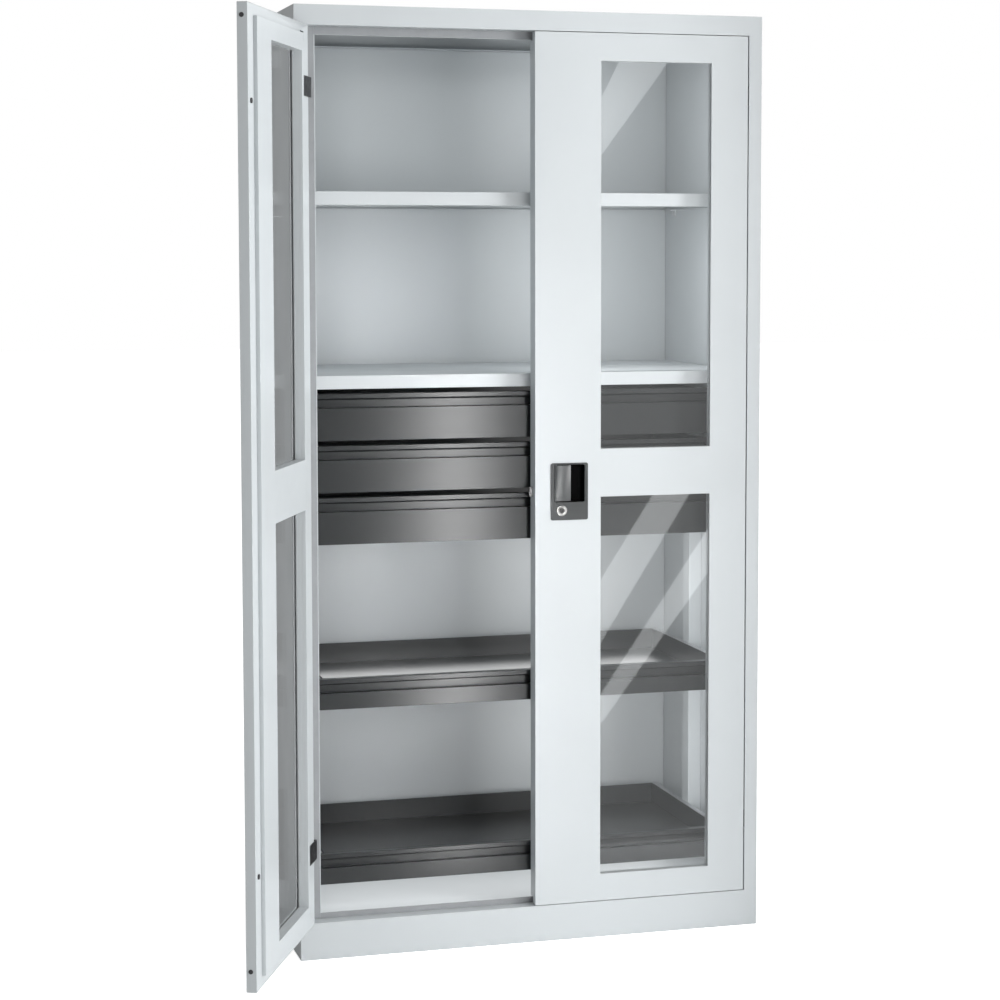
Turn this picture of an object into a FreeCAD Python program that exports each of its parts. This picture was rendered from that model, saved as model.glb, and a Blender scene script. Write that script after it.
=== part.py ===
# Glass-door storage cabinet: a welded steel body with two hinged glass doors, two shelves,
# three drawers and two pull-out trays. Millimetres, +Z up, the front looks along -Y.
# The origin is the middle of the base, on the floor. The left door rests open, as it is seen in use.
import FreeCAD, Part
import Sketcher
import os

doc = FreeCAD.newDocument("StorageCabinet")

# Driving sizes
SIZES = [
    # Carcass
    ("width", 1000.0),
    ("depth", 580.0),
    ("height", 1950.0),
    ("sheet", 1.25),
    ("base_sheet", 2.0),
    ("plinth_height", 76.5),
    ("lintel_height", 40.5),
    ("jamb_width", 28.5),
    ("stop_plane", 34.0),
    ("stop_width", 20.0),
    ("top_stop", 17.0),
    ("rear_return", 30.0),
    ("back_recess", 22.0),
    ("liner_gap", 22.0),
    ("liner_lip", 18.0),
    ("base_flange", 40.0),
    ("floor_sheet", 1.5),
    ("anchor_inset", 20.0),
    ("anchor_end", 90.0),
    ("anchor_radius", 4.5),
    ("deck_width", 60.0),
    ("bottom_stop", 12.5),
    # Shelves
    ("shelf_thickness", 27.5),
    ("shelf_front", 52.0),
    ("shelf_rear_gap", 13.0),
    ("shelf_play", 1.5),
    ("shelf_lip", 12.0),
    ("upper_shelf_level", 1551.5),
    ("lower_shelf_level", 1174.5),
    ("clip_sheet", 3.0),
    ("clip_reach", 14.0),
    ("clip_drop", 14.0),
    ("clip_length", 20.0),
    ("clip_inset", 40.0),
    ("clip_hook", 5.0),
    ("clip_play", 0.5),
    # Pull-outs
    ("pull_gap", 24.5),
    ("front_overhang", 11.0),
    ("pull_front", 58.0),
    ("pull_rear_gap", 40.0),
    ("front_thickness", 18.0),
    ("front_lip", 9.5),
    ("grip_height", 20.0),
    ("grip_depth", 14.0),
    ("grip_slope", 4.0),
    ("drawer_front_height", 97.0),
    ("drawer_pitch", 107.5),
    ("lowest_drawer", 852.5),
    ("drawer_wall", 80.0),
    ("drawer_floor_rise", 8.5),
    ("tray_front_height", 63.5),
    ("upper_tray", 508.5),
    ("lower_tray", 140.5),
    ("tray_wall", 45.0),
    ("slide_height", 45.0),
    ("slide_width", 12.7),
    ("slide_start", 78.0),
    ("slide_end_gap", 4.0),
    ("rail_sheet", 1.5),
    ("rail_play", 0.3),
    ("rail_lap", 2.5),
    ("post_width", 40.0),
    ("post_sheet", 1.5),
    ("front_post", 80.0),
    ("rear_post", 300.0),
    ("post_top_gap", 22.0),
    # Doors
    ("open_angle", 114.0),
    ("meeting_gap", 3.0),
    ("hinge_gap", 2.5),
    ("head_gap", 1.5),
    ("door_depth", 20.0),
    ("window_offset", 143.0),
    ("window_hinge_margin", 81.5),
    ("window_sill", 57.5),
    ("window_head", 57.5),
    ("mid_rail", 101.0),
    ("pane_start", 3.0),
    ("pane_thickness", 4.0),
    ("pane_overlap", 10.0),
    ("pane_play", 0.5),
    ("seal_back", 9.0),
    ("seal_overlap", 14.0),
    ("stile_depth", 8.0),
    ("stile_start", 39.5),
    ("stile_end", 133.5),
    ("stile_inset", 22.0),
    ("stile_arm_gap", 5.0),
    ("channel_depth", 17.0),
    ("channel_top_gap", 2.5),
    ("flange_slot_width", 30.0),
    ("flange_slot_edge", 35.0),
    ("flange_slot_height", 20.0),
    ("flange_slot_drop", 16.5),
    ("flange_slot_rise", 30.0),
    ("buffer_radius", 5.0),
    ("buffer_height", 2.5),
    ("buffer_edge", 18.5),
    ("upper_buffer_drop", 177.0),
    ("lower_buffer_rise", 216.0),
    ("plug_radius", 4.5),
    ("plug_height", 0.8),
    ("plug_level", 9.0),
    ("upper_plug_drop", 24.0),
    ("lower_plug_rise", 40.0),
    # Gooseneck hinges
    ("hinge_offset", 10.0),
    ("hinge_depth", 6.0),
    ("hinge_height", 40.0),
    ("upper_hinge_drop", 124.5),
    ("lower_hinge_rise", 154.5),
    ("pin_radius", 2.5),
    ("pin_clearance", 0.05),
    ("barrel_radius", 4.3),
    ("arm_sheet", 2.5),
    ("arm_reach", 64.0),
    ("ear_thickness", 3.0),
    ("ear_play", 0.3),
    ("ear_sheet", 2.0),
    ("ear_depth", 9.0),
    ("bracket_depth", 18.0),
    ("slot_front", 1.75),
    ("slot_rear", 28.0),
    ("slot_play", 1.5),
    # Lock
    ("plate_start", 35.0),
    ("plate_width", 81.0),
    ("plate_bottom", 895.5),
    ("plate_height", 120.0),
    ("plate_thickness", 1.5),
    ("plate_corner", 4.0),
    ("cup_side", 7.5),
    ("cup_top", 3.5),
    ("cup_height", 79.0),
    ("cup_width", 66.5),
    ("cup_depth", 30.0),
    ("cup_wall", 1.5),
    ("cut_play", 0.4),
    ("access_margin", 9.0),
    ("lock_axis_side", 24.0),
    ("lock_axis_rise", 20.0),
    ("cylinder_rim", 11.25),
    ("cylinder_radius", 9.5),
    ("cylinder_proud", 1.5),
    ("cylinder_length", 18.0),
    ("key_radius", 5.5),
    ("key_proud", 0.4),
    ("keyway_width", 1.6),
    ("keyway_height", 7.0),
    ("keyway_depth", 12.0),
    ("running_fit", 0.05),
    ("rod_level", 24.5),
    ("rod_thickness", 6.0),
    ("rod_width", 8.0),
    ("rod_end_gap", 2.0),
    ("rod_play", 1.0),
    ("pinion_radius", 9.3),
    ("mesh_gap", 0.3),
    ("upper_rod_side", 28.5),
    ("rod_foot_height", 23.5),
    ("rod_foot_drop", 0.5),
    ("rod_top", 12.0),
    ("guide_wall", 3.0),
    ("guide_height", 8.0),
    ("guide_end", 40.0),
    ("upper_guide_rise", 200.0),
    ("lower_guide_drop", 120.0),
    ("bolt_guide", 6.0),
    ("bolt_height", 20.0),
    ("bolt_bottom", 945.0),
    ("bolt_thickness", 8.0),
    ("bolt_length", 27.0),
    ("bolt_play", 0.3),
    ("bolt_proud", 7.5),
    ("bolt_bevel", 4.0),
    ("paddle_width", 35.0),
    ("paddle_sheet", 3.0),
    ("paddle_bulge", 45.0),
    ("paddle_level", 3.5),
    ("paddle_lip", 11.0),
    ("paddle_play", 2.0),
    ("pivot_inset", 5.0),
    ("paddle_heel", 2.5),
    ("pivot_level", 8.0),
    ("pivot_radius", 4.0),
    ("trunnion_radius", 2.0),
    # Levelling feet
    ("foot_inset", 60.0),
    ("foot_gap", 1.0),
    ("foot_radius", 18.0),
    ("foot_thickness", 8.0),
    ("stud_radius", 5.0),
    ("stud_length", 50.0),
    ("gusset_size", 100.0),
    ("gusset_level", 30.0),
    ("gusset_sheet", 4.0),
    ("stud_hole", 5.25),
]

sheet = doc.addObject("Spreadsheet::Sheet", "Size")
for row, (alias, number) in enumerate(SIZES, start=1):
    sheet.set("A%d" % row, alias)
    sheet.set("B%d" % row, str(number))
    sheet.setAlias("B%d" % row, alias)
doc.recompute()

pieces = []


# Places worked out from the sizes. A depth is counted from the front plane into the cabinet.
def at_depth(text):
    return "(-Size.depth / 2 + (%s))" % text


HALF = "(Size.width / 2)"
REAR = at_depth("Size.depth")
OPENING = "(Size.width / 2 - Size.jamb_width)"
SILL = "Size.plinth_height"
HEAD = "(Size.height - Size.lintel_height)"
LINER = "(Size.width / 2 - Size.liner_gap)"
BACK = at_depth("Size.depth - Size.back_recess")
FLOOR = "(Size.plinth_height + Size.floor_sheet)"
FREE_EDGE = "(Size.meeting_gap / 2)"
HINGE_EDGE = "(%s - Size.hinge_gap)" % OPENING
DOOR_BOTTOM = "(%s + Size.head_gap)" % SILL
DOOR_TOP = "(%s - Size.head_gap)" % HEAD
AXIS_X = "(%s + Size.hinge_offset)" % OPENING
AXIS_Y = at_depth("Size.hinge_depth")
UPPER_HINGE = "(%s - Size.upper_hinge_drop)" % HEAD
LOWER_HINGE = "(%s + Size.lower_hinge_rise)" % SILL
SHELF_REAR = "(Size.depth - Size.back_recess - Size.shelf_rear_gap)"
PULL_HALF = "(%s - Size.pull_gap)" % OPENING
BODY_HALF = "(%s - Size.front_overhang)" % PULL_HALF
PULL_REAR = "(Size.depth - Size.back_recess - Size.pull_rear_gap)"
SLIDE_END = "(%s - Size.slide_end_gap)" % PULL_REAR
LOCK_X = "(Size.plate_start + Size.lock_axis_side)"
LOCK_Z = "(Size.plate_bottom + Size.lock_axis_rise)"
WINDOW_FREE = "(%s + Size.window_offset)" % FREE_EDGE
WINDOW_HINGE = "(%s - Size.window_hinge_margin)" % HINGE_EDGE
LOWER_WINDOW = "(%s + Size.window_sill)" % DOOR_BOTTOM
WINDOWS_TOP = "(%s - Size.window_head)" % DOOR_TOP
WINDOW_HEIGHT = "((%s - %s - Size.mid_rail) / 2)" % (WINDOWS_TOP, LOWER_WINDOW)
UPPER_WINDOW = "(%s + %s + Size.mid_rail)" % (LOWER_WINDOW, WINDOW_HEIGHT)


# Drawing helpers
def number(text):
    return float(pieces[-1].evalExpression(text))


def rectangle(left, right, low, high):
    return [(left, low), (right, low), (right, high), (left, high)]


def mirrored(outline, side):
    """The outline on the right (side 1) or left (side -1) of the middle plane."""
    return [("%d * (%s)" % (side, p[0]),) + tuple(p[1:]) for p in outline]


class Disc:
    """A round outline, given by its centre and radius."""

    def __init__(self, x, y, radius):
        self.x, self.y, self.radius = x, y, radius


def draw_disc(sketch, disc):
    centre = FreeCAD.Vector(number(disc.x), number(disc.y), 0)
    radius = number(disc.radius)
    geo = sketch.addGeometry(Part.Circle(centre, FreeCAD.Vector(0, 0, 1), radius), False)
    for kind, value, text in (("DistanceX", centre.x, disc.x), ("DistanceY", centre.y, disc.y)):
        index = sketch.addConstraint(Sketcher.Constraint(kind, -1, 1, geo, 3, value))
        sketch.setExpression("Constraints[%d]" % index, text)
    index = sketch.addConstraint(Sketcher.Constraint("Radius", geo, radius))
    sketch.setExpression("Constraints[%d]" % index, disc.radius)


def arc_between(start, end, radius):
    """An arc that turns left from start to end."""
    chord = end - start
    middle = (start + end) * 0.5
    rise = (radius**2 - (chord.Length / 2) ** 2) ** 0.5
    left = FreeCAD.Vector(-chord.y, chord.x, 0).normalize()
    centre = middle + left * rise
    angles = [(p - centre) for p in (start, end)]
    first, last = [FreeCAD.Vector(1, 0, 0).getAngle(a) * (1 if a.y >= 0 else -1) for a in angles]
    circle = Part.Circle(centre, FreeCAD.Vector(0, 0, 1), radius)
    return Part.ArcOfCircle(circle, first, last if last > first else last + 6.283185307179586)


def draw_outline(sketch, outline):
    """A closed outline of straight lines, and of arcs where a point has a radius as its third item:
    the arc runs to the next point and turns left, or right where its fourth item is -1."""
    points = [FreeCAD.Vector(number(p[0]), number(p[1]), 0) for p in outline]
    starts, ends = [], []
    for i, point in enumerate(outline):
        here, there = points[i], points[(i + 1) % len(points)]
        if len(point) < 3:
            geo = sketch.addGeometry(Part.LineSegment(here, there), False)
            starts.append((geo, 1))
            ends.append((geo, 2))
        elif len(point) == 3:
            geo = sketch.addGeometry(arc_between(here, there, number(point[2])), False)
            starts.append((geo, 1))
            ends.append((geo, 2))
        else:
            geo = sketch.addGeometry(arc_between(there, here, number(point[2])), False)
            starts.append((geo, 2))
            ends.append((geo, 1))
    for i, point in enumerate(outline):
        follow = starts[(i + 1) % len(points)]
        sketch.addConstraint(Sketcher.Constraint("Coincident", *ends[i], *follow))
        for kind, value, text in (
            ("DistanceX", points[i].x, point[0]),
            ("DistanceY", points[i].y, point[1]),
        ):
            index = sketch.addConstraint(Sketcher.Constraint(kind, -1, 1, *starts[i], value))
            sketch.setExpression("Constraints[%d]" % index, text)
        if len(point) > 2:
            index = sketch.addConstraint(
                Sketcher.Constraint("Radius", starts[i][0], number(point[2]))
            )
            sketch.setExpression("Constraints[%d]" % index, point[2])


def new_body(label):
    body = doc.addObject("PartDesign::Body", label)
    body.Label = label
    body.AllowCompound = True
    pieces.append(body)
    return body


PLANES = {"z": ("XY_Plane", 1), "y": ("XZ_Plane", -1), "x": ("YZ_Plane", 1)}


def draw(body, along, start, outlines):
    """A sketch square to an axis, at the place start on it."""
    role, sign = PLANES[along]
    plane = [f for f in body.Origin.OriginFeatures if f.Role == role][0]
    sketch = body.newObject("Sketcher::SketchObject", body.Label + "_sketch")
    sketch.AttachmentSupport = [(plane, "")]
    sketch.MapMode = "FlatFace"
    sketch.setExpression("AttachmentOffset.Base.z", "%d * (%s)" % (sign, start))
    for outline in outlines:
        if isinstance(outline, Disc):
            draw_disc(sketch, outline)
        else:
            draw_outline(sketch, outline)
    return sketch


def add(body, along, start, end, outlines):
    """Material from start to end along an axis, with the outlines as its section."""
    pad = body.newObject("PartDesign::Pad", body.Label + "_pad")
    pad.Profile = draw(body, along, start, outlines)
    pad.Reversed = PLANES[along][1] < 0
    pad.setExpression("Length", "(%s) - (%s)" % (end, start))
    return pad


def cut(body, along, start, end, outlines):
    """An opening from start to end along an axis, with the outlines as its section."""
    doc.recompute()
    before = body.Shape.Volume
    pocket = body.newObject("PartDesign::Pocket", body.Label + "_pocket")
    pocket.Profile = draw(body, along, start, outlines)
    pocket.Reversed = PLANES[along][1] > 0
    pocket.setExpression("Length", "(%s) - (%s)" % (end, start))
    doc.recompute()
    if not body.Shape.Volume < before - 0.01:
        raise ValueError("a cut in %s takes nothing away" % body.Label)
    return pocket


def swing_open(body):
    """Turns a piece of the left door from shut to its open place about the hinge pins."""
    turn = "Size.open_angle * 1deg"
    x, y = "(-%s)" % AXIS_X, AXIS_Y
    body.setExpression("Placement.Rotation.Angle", "-Size.open_angle")
    body.setExpression(
        "Placement.Base.x", "%s - %s * cos(%s) - %s * sin(%s)" % (x, x, turn, y, turn)
    )
    body.setExpression(
        "Placement.Base.y", "%s + %s * sin(%s) - %s * cos(%s)" % (y, x, turn, y, turn)
    )


# Carcass
def make_side(label, side):
    """A side wall folded into the hollow jamb and the door stop."""
    body = new_body(label)
    front, stop = at_depth("0"), at_depth("Size.stop_plane")
    inner_front, stop_back = at_depth("Size.sheet"), at_depth("Size.stop_plane + Size.sheet")
    stop_end = "%s - Size.stop_width" % OPENING
    reveal_back = "%s + Size.sheet" % OPENING
    section = [
        ("%s - Size.rear_return" % HALF, REAR),
        (HALF, REAR),
        (HALF, front),
        (OPENING, front),
        (OPENING, stop),
        (stop_end, stop),
        (stop_end, stop_back),
        (reveal_back, stop_back),
        (reveal_back, inner_front),
        ("%s - Size.sheet" % HALF, inner_front),
        ("%s - Size.sheet" % HALF, "%s - Size.sheet" % REAR),
        ("%s - Size.rear_return" % HALF, "%s - Size.sheet" % REAR),
    ]
    add(body, "z", SILL, HEAD, [mirrored(section, side)])
    reach = "Size.hinge_height / 2 + Size.slot_play"
    slots = [
        rectangle(
            at_depth("Size.slot_front"),
            at_depth("Size.slot_rear"),
            "%s - (%s)" % (centre, reach),
            "%s + %s" % (centre, reach),
        )
        for centre in (UPPER_HINGE, LOWER_HINGE)
    ]
    ends = ["%s - Size.sheet" % OPENING, "%s + 2 * Size.sheet" % OPENING]
    if side < 0:
        ends = ["-(%s)" % ends[1], "-(%s)" % ends[0]]
    cut(body, "x", ends[0], ends[1], slots)
    return body


def block(body, left, right, near, far, low, high):
    """A plain block, its front and rear given as depths."""
    return add(body, "z", low, high, [rectangle(left, right, at_depth(near), at_depth(far))])


def hollow(body, left, right, near, far, low, high):
    return cut(body, "z", low, high, [rectangle(left, right, at_depth(near), at_depth(far))])


def rounded(left, right, low, high, radius):
    """A rectangle with rounded corners."""
    inner_left, inner_right = "%s + %s" % (left, radius), "%s - %s" % (right, radius)
    inner_low, inner_high = "%s + %s" % (low, radius), "%s - %s" % (high, radius)
    return [
        (inner_left, low),
        (inner_right, low, radius),
        (right, inner_low),
        (right, inner_high, radius),
        (inner_right, high),
        (inner_left, high, radius),
        (left, inner_high),
        (left, inner_low, radius),
    ]


def span(side, start, end):
    """The two ends of a stretch along X, on the right (1) or left (-1) half."""
    return (start, end) if side > 0 else ("-(%s)" % end, "-(%s)" % start)


def rod_passage(left):
    """The section of a lock rod at its left side, widened by the play."""
    return rectangle(
        "%s - Size.rod_play" % left,
        "%s + Size.rod_width + Size.rod_play" % left,
        at_depth("Size.rod_level - Size.rod_play"),
        at_depth("Size.rod_level + Size.rod_thickness + Size.rod_play"),
    )


UPPER_ROD = "(%s + Size.upper_rod_side)" % FREE_EDGE
LOWER_ROD = "(%s + Size.pinion_radius + Size.mesh_gap)" % LOCK_X
STOP_HALF = "(%s - Size.stop_width)" % OPENING
STOP_BACK = "Size.stop_plane + Size.sheet"


def make_roof():
    """The roof pan with the hollow lintel, its underside and the top door stop."""
    body = new_body("roof")
    inner = "(%s - Size.sheet)" % HALF
    block(body, "-" + HALF, HALF, "0", "Size.depth", HEAD, "Size.height")
    hollow(
        body,
        "-" + inner,
        inner,
        "Size.sheet",
        "Size.depth - Size.sheet",
        HEAD + " + Size.sheet",
        "Size.height - Size.sheet",
    )
    hollow(
        body,
        "-" + OPENING,
        OPENING,
        STOP_BACK,
        "Size.depth - Size.deck_width",
        HEAD,
        HEAD + " + Size.sheet",
    )
    block(
        body,
        "-" + STOP_HALF,
        STOP_HALF,
        "Size.stop_plane",
        STOP_BACK,
        HEAD + " - Size.top_stop",
        HEAD + " + Size.sheet",
    )
    cut(body, "z", HEAD, HEAD + " + Size.sheet", [rod_passage(UPPER_ROD)])
    return body


def make_base():
    """The plinth box with its bottom flange, the sill, the bottom door stop and the foot gussets."""
    body = new_body("base_frame")
    inner = "(%s - Size.base_sheet)" % HALF
    near, far = "Size.base_sheet", "Size.depth - Size.base_sheet"
    block(body, "-" + HALF, HALF, "0", "Size.depth", "0", SILL)
    hollow(body, "-" + inner, inner, near, far, "Size.base_sheet", SILL + " - Size.base_sheet")
    ring = "(%s - Size.base_flange)" % HALF
    hollow(
        body,
        "-" + ring,
        ring,
        "Size.base_flange",
        "Size.depth - Size.base_flange",
        "0",
        "Size.base_sheet",
    )
    deck = "(%s - Size.deck_width)" % HALF
    hollow(
        body,
        "-" + deck,
        deck,
        "Size.deck_width",
        "Size.depth - Size.deck_width",
        SILL + " - Size.base_sheet",
        SILL,
    )
    block(
        body,
        "-" + STOP_HALF,
        STOP_HALF,
        "Size.stop_plane",
        STOP_BACK,
        SILL,
        SILL + " + Size.bottom_stop",
    )
    cut(body, "z", SILL + " - Size.base_sheet", SILL, [rod_passage(LOWER_ROD)])
    gusset = "(%s - Size.gusset_size)" % inner
    ends = (near, "Size.gusset_size"), ("Size.depth - Size.gusset_size", far)
    top = "Size.gusset_level + Size.gusset_sheet"
    for side in (-1, 1):
        left, right = span(side, gusset, inner)
        for front, rear in ends:
            block(body, left, right, front, rear, "Size.gusset_level", top)
    feet = [Disc(x, y, "Size.stud_hole") for x, y in foot_places()]
    cut(body, "z", "Size.gusset_level", top, feet)
    x = "(%s - Size.anchor_inset)" % HALF
    y = "(Size.depth / 2 - Size.anchor_end)"
    anchors = [Disc(a + x, b + y, "Size.anchor_radius") for a in ("", "-") for b in ("", "-")]
    cut(body, "z", "0", "Size.base_sheet", anchors)
    return body


def foot_places():
    x = "(%s - Size.foot_inset)" % HALF
    y = "(Size.depth / 2 - Size.foot_inset)"
    return [("-" + x, "-" + y), (x, "-" + y), ("-" + x, y), (x, y)]


def make_floor():
    body = new_body("floor_panel")
    half = "(%s + Size.sheet)" % LINER
    block(body, "-" + half, half, STOP_BACK, "Size.depth - Size.back_recess", SILL, FLOOR)
    return body


def make_back():
    """The back panel, a pan folded to the rear."""
    body = new_body("back_panel")
    near, far = "Size.depth - Size.back_recess", "Size.depth - Size.sheet"
    inner = "(%s - Size.sheet)" % LINER
    block(body, "-" + LINER, LINER, near, far, SILL, HEAD)
    hollow(
        body,
        "-" + inner,
        inner,
        near + " + Size.sheet",
        far,
        SILL + " + Size.sheet",
        HEAD + " - Size.sheet",
    )
    return body


def clip_places():
    front = "Size.shelf_front + Size.clip_inset"
    rear = SHELF_REAR + " - Size.clip_inset - Size.clip_length"
    levels = "Size.upper_shelf_level", "Size.lower_shelf_level"
    return [(near, level) for near in (front, rear) for level in levels]


def make_liner(label, side):
    """The inner wall with its front lip and the slots for the shelf clips."""
    body = new_body(label)
    outer = "%s + Size.sheet" % LINER
    lip = "%s - Size.liner_lip" % LINER
    section = [
        (outer, at_depth(STOP_BACK)),
        (outer, BACK),
        (LINER, BACK),
        (LINER, at_depth(STOP_BACK + " + Size.sheet")),
        (lip, at_depth(STOP_BACK + " + Size.sheet")),
        (lip, at_depth(STOP_BACK)),
    ]
    add(body, "z", FLOOR, HEAD, [mirrored(section, side)])
    slots = []
    for near, level in clip_places():
        play, top = "Size.clip_play", "%s - Size.clip_sheet" % level
        slots.append(
            rectangle(
                at_depth("%s - %s" % (near, play)),
                at_depth("%s + Size.clip_length + %s" % (near, play)),
                "%s - Size.clip_hook - %s" % (top, play),
                "%s + %s" % (top, play),
            )
        )
    cut(body, "x", *span(side, LINER, outer), slots)
    return body


def make_shelf(label, level):
    """A shelf folded down on four sides, with return lips."""
    body = new_body(label)
    half = "(%s - Size.shelf_play)" % LINER
    inner = "(%s - Size.sheet)" % half
    open_half = "(%s - Size.shelf_lip)" % half
    near, far = "Size.shelf_front", SHELF_REAR
    top = level + " + Size.shelf_thickness"
    block(body, "-" + half, half, near, far, level, top)
    hollow(
        body,
        "-" + inner,
        inner,
        near + " + Size.sheet",
        far + " - Size.sheet",
        level + " + Size.sheet",
        top + " - Size.sheet",
    )
    hollow(
        body,
        "-" + open_half,
        open_half,
        near + " + Size.shelf_lip",
        far + " - Size.shelf_lip",
        level,
        level + " + Size.sheet",
    )
    return body


def make_clips():
    """Eight angle clips, hooked through the liners, that carry the shelves."""
    body = new_body("shelf_clips")
    leg = "%s - Size.clip_sheet" % LINER
    reach = "%s - Size.clip_reach" % LINER
    hook = "%s + 2 * Size.sheet" % LINER
    for near, level in clip_places():
        hook_top = "%s - Size.clip_sheet" % level
        section = [
            (leg, "%s - Size.clip_drop" % level),
            (LINER, "%s - Size.clip_drop" % level),
            (LINER, "%s - Size.clip_hook" % hook_top),
            (hook, "%s - Size.clip_hook" % hook_top),
            (hook, hook_top),
            (LINER, hook_top),
            (LINER, level),
            (reach, level),
            (reach, hook_top),
            (leg, hook_top),
        ]
        start = at_depth(near)
        both = [mirrored(section, side) for side in (-1, 1)]
        add(body, "y", start, start + " + Size.clip_length", both)
    return body


def make_posts():
    """Channel posts between the liners and the slides."""
    body = new_body("runner_posts")
    face = "(%s + Size.slide_width)" % BODY_HALF
    top = "Size.lower_shelf_level - Size.post_top_gap"
    outlines = []
    for side in (-1, 1):
        for near in ("Size.front_post", "Size.rear_post"):
            far = near + " + Size.post_width"
            section = [
                (LINER, at_depth(near)),
                (LINER, at_depth(near + " + Size.post_sheet")),
                (face + " + Size.post_sheet", at_depth(near + " + Size.post_sheet")),
                (face + " + Size.post_sheet", at_depth(far + " - Size.post_sheet")),
                (LINER, at_depth(far + " - Size.post_sheet")),
                (LINER, at_depth(far)),
                (face, at_depth(far)),
                (face, at_depth(near)),
            ]
            outlines.append(mirrored(section, side))
    add(body, "z", FLOOR, top, outlines)
    return body


# Pull-outs: name, bottom of the front, height of the front, rise of the floor, height of the walls
def pull_outs():
    rows = []
    for i, name in enumerate(("lower_drawer", "middle_drawer", "upper_drawer")):
        bottom = "(Size.lowest_drawer + %d * Size.drawer_pitch)" % i
        rise = "Size.drawer_floor_rise"
        rows.append((name, bottom, "Size.drawer_front_height", rise, "Size.drawer_wall"))
    for name, bottom in (("lower_tray", "Size.lower_tray"), ("upper_tray", "Size.upper_tray")):
        rise = "(Size.tray_front_height - Size.tray_wall - Size.sheet)"
        wall = "(Size.tray_wall + Size.sheet)"
        rows.append((name, bottom, "Size.tray_front_height", rise, wall))
    return rows


def rail_level(row):
    """The bottom of the slide: in the middle of the side wall."""
    name, bottom, height, rise, wall = row
    return "(%s + %s + (%s - Size.slide_height) / 2)" % (bottom, rise, wall)


def rail_section(web, tip, low, side):
    """A rail of channel section from its web to the tips of its flanges."""
    inward = "+" if number(web) < number(tip) else "-"
    inner = "%s %s Size.rail_sheet" % (web, inward)
    bottom = "%s + %s" % low
    top = "%s + Size.slide_height - %s" % low
    section = [
        (web, bottom),
        (tip, bottom),
        (tip, bottom + " + Size.rail_sheet"),
        (inner, bottom + " + Size.rail_sheet"),
        (inner, top + " - Size.rail_sheet"),
        (tip, top + " - Size.rail_sheet"),
        (tip, top),
        (web, top),
    ]
    return mirrored(section, side)


RAIL_OUT = "(%s + Size.slide_width)" % BODY_HALF
RAIL_STEP = "(Size.rail_sheet + Size.rail_play)"


def add_rails(body, row, web, tip, inset, start):
    low = (rail_level(row), inset)
    both = [rail_section(web, tip, low, side) for side in (-1, 1)]
    add(body, "y", at_depth(start), at_depth(SLIDE_END), both)


def make_outer_rails():
    body = new_body("outer_rails")
    tip = "(%s + Size.rail_lap)" % BODY_HALF
    for row in pull_outs():
        add_rails(body, row, RAIL_OUT, tip, "0", "Size.slide_start")
    return body


def make_pull_out(row):
    """The pan, the front, the inner rails and the middle rails of one pull-out."""
    name, bottom, height, rise, wall = row
    body = new_body(name + "_body")
    inner = "(%s - Size.sheet)" % BODY_HALF
    near = "Size.pull_front + Size.front_thickness"
    floor = "%s + %s" % (bottom, rise)
    top = "%s + %s" % (floor, wall)
    block(body, "-" + BODY_HALF, BODY_HALF, near, PULL_REAR, floor, top)
    hollow(
        body,
        "-" + inner,
        inner,
        near + " + Size.sheet",
        PULL_REAR + " - Size.sheet",
        floor + " + Size.sheet",
        top,
    )

    body = new_body(name + "_front")
    inner = "(%s - Size.sheet)" % PULL_HALF
    crest = "%s + %s" % (bottom, height)
    channel_top = crest + " - Size.front_lip"
    channel_low = channel_top + " - Size.grip_height"
    face, rear = at_depth("Size.pull_front"), at_depth(near)
    grip = face + " + Size.grip_depth"
    slope_x, slope_z = grip + " - Size.grip_slope", channel_top + " - Size.grip_slope"
    skin = "Size.sheet"
    path = [
        (rear, bottom),
        (face, bottom),
        (face, channel_low),
        (grip, channel_low),
        (grip, slope_z),
        (slope_x, channel_top),
        (face, channel_top),
        (face, crest),
        (rear, crest),
    ]
    back = [
        (rear, "%s - %s" % (crest, skin)),
        ("%s + %s" % (face, skin), "%s - %s" % (crest, skin)),
        ("%s + %s" % (face, skin), "%s + %s" % (channel_top, skin)),
        ("%s + %s / 2" % (slope_x, skin), "%s + %s" % (channel_top, skin)),
        ("%s + %s" % (grip, skin), "%s + %s / 2" % (slope_z, skin)),
        ("%s + %s" % (grip, skin), "%s - %s" % (channel_low, skin)),
        ("%s + %s" % (face, skin), "%s - %s" % (channel_low, skin)),
        ("%s + %s" % (face, skin), "%s + %s" % (bottom, skin)),
        (rear, "%s + %s" % (bottom, skin)),
    ]
    add(body, "x", "-" + inner, inner, [path + back])
    add(body, "x", "-" + PULL_HALF, "-" + inner, [path])
    add(body, "x", inner, PULL_HALF, [path])

    body = new_body(name + "_inner_rails")
    inset = "2 * " + RAIL_STEP
    tip = "%s - 2 * %s - Size.rail_sheet" % (RAIL_OUT, RAIL_STEP)
    add_rails(body, row, BODY_HALF, tip, inset, near)

    body = new_body(name + "_middle_rails")
    web = "%s - %s" % (RAIL_OUT, RAIL_STEP)
    tip = "(%s + Size.rail_lap)" % BODY_HALF
    add_rails(body, row, web, tip, RAIL_STEP, "Size.slide_start")


# Doors. A depth in a door is its level behind the outer skin.
def windows(grow="0"):
    """The outlines of the two windows, widened on all sides."""
    out = []
    for low in (LOWER_WINDOW, UPPER_WINDOW):
        out.append(
            rectangle(
                "%s - %s" % (WINDOW_FREE, grow),
                "%s + %s" % (WINDOW_HINGE, grow),
                "%s - %s" % (low, grow),
                "%s + %s + %s" % (low, WINDOW_HEIGHT, grow),
            )
        )
    return out


def add_level(body, start, end, outlines, side):
    add(body, "y", at_depth(start), at_depth(end), [mirror_any(o, side) for o in outlines])


def cut_level(body, start, end, outlines, side):
    cut(body, "y", at_depth(start), at_depth(end), [mirror_any(o, side) for o in outlines])


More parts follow.
